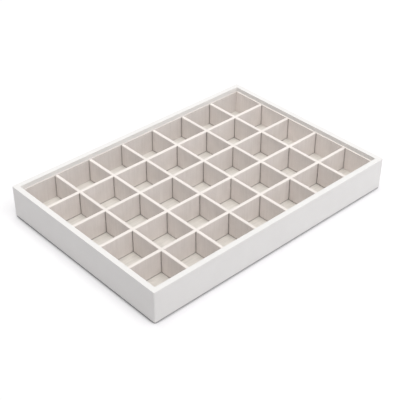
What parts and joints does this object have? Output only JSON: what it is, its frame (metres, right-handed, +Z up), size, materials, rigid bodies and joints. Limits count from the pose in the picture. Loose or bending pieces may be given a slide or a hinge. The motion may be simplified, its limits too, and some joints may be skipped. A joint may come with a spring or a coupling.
{
  "type": "jewelry tray",
  "caption": "Low rectangular leatherette-wrapped tray with a velvet-lined grid of open square cells set below a raised stacking rim, for sorting and showing small jewelry.",
  "frame": {"origin": "on the table under the middle of the tray", "axes": "+X along the long side, +Y from the front wall to the back wall, +Z up"},
  "size_m": [0.35, 0.243, 0.041],
  "materials": {
    "white_leatherette": "smooth matte white leatherette, fine grain",
    "wall_velvet": "short-pile velvet, light warm grey",
    "floor_velvet": "short-pile velvet, light warm grey",
    "base_felt": "thin pressed felt, light warm grey",
    "fibreboard": "bare medium-density fibreboard",
    "greyboard": "bare pressed greyboard"
  },
  "bodies": {
    "root": {"leatherette_wrap": "white_leatherette", "base_board": "fibreboard", "underside_card": "greyboard", "underside_felt": "base_felt", "floor_card": "greyboard", "floor_velvet": "floor_velvet", "front_wall_board": "fibreboard", "back_wall_board": "fibreboard", "left_wall_board": "fibreboard", "right_wall_board": "fibreboard", "front_liner_card": "greyboard", "back_liner_card": "greyboard", "left_liner_card": "greyboard", "right_liner_card": "greyboard", "front_liner_velvet": "wall_velvet", "back_liner_velvet": "wall_velvet", "left_liner_velvet": "wall_velvet", "right_liner_velvet": "wall_velvet", "long_divider_core_1": "greyboard", "long_divider_core_2": "greyboard", "long_divider_core_3": "greyboard", "long_divider_core_4": "greyboard", "long_divider_velvet_1": "wall_velvet", "long_divider_velvet_2": "wall_velvet", "long_divider_velvet_3": "wall_velvet", "long_divider_velvet_4": "wall_velvet", "short_divider_core_1": "greyboard", "short_divider_core_2": "greyboard", "short_divider_core_3": "greyboard", "short_divider_core_4": "greyboard", "short_divider_core_5": "greyboard", "short_divider_core_6": "greyboard", "short_divider_velvet_1": "wall_velvet", "short_divider_velvet_2": "wall_velvet", "short_divider_velvet_3": "wall_velvet", "short_divider_velvet_4": "wall_velvet", "short_divider_velvet_5": "wall_velvet", "short_divider_velvet_6": "wall_velvet"}
  },
  "joints": []
}
